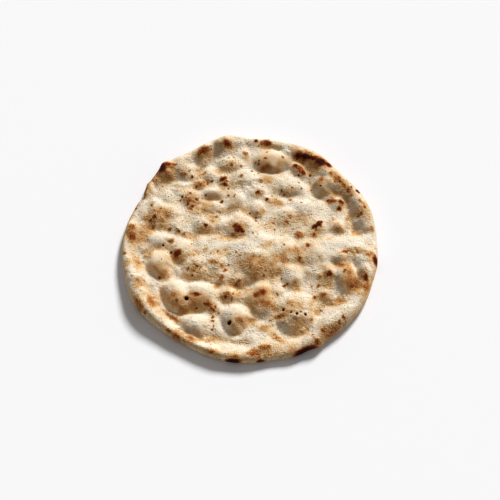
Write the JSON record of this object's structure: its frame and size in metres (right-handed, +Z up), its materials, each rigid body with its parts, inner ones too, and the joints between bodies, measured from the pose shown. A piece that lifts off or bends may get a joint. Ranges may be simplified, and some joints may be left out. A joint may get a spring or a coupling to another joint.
{
  "type": "prebaked pizza base",
  "caption": "Round prebaked pizza base: thin bubbled dough inside a puffed, uneven rim, with a browned, floury crust.",
  "frame": {"origin": "centre of the base's bounding box in plan, on the flat underside that it rests on", "axes": "+Z up out of the bubbled top, +Y towards the side with the large smooth bubble, +X to the right of that"},
  "size_m": [0.2796, 0.2804, 0.0195],
  "materials": {
    "crust": "matte floury baked crust with brown scorch spots"
  },
  "bodies": {
    "root": {"pizza_base": "crust"}
  },
  "joints": []
}
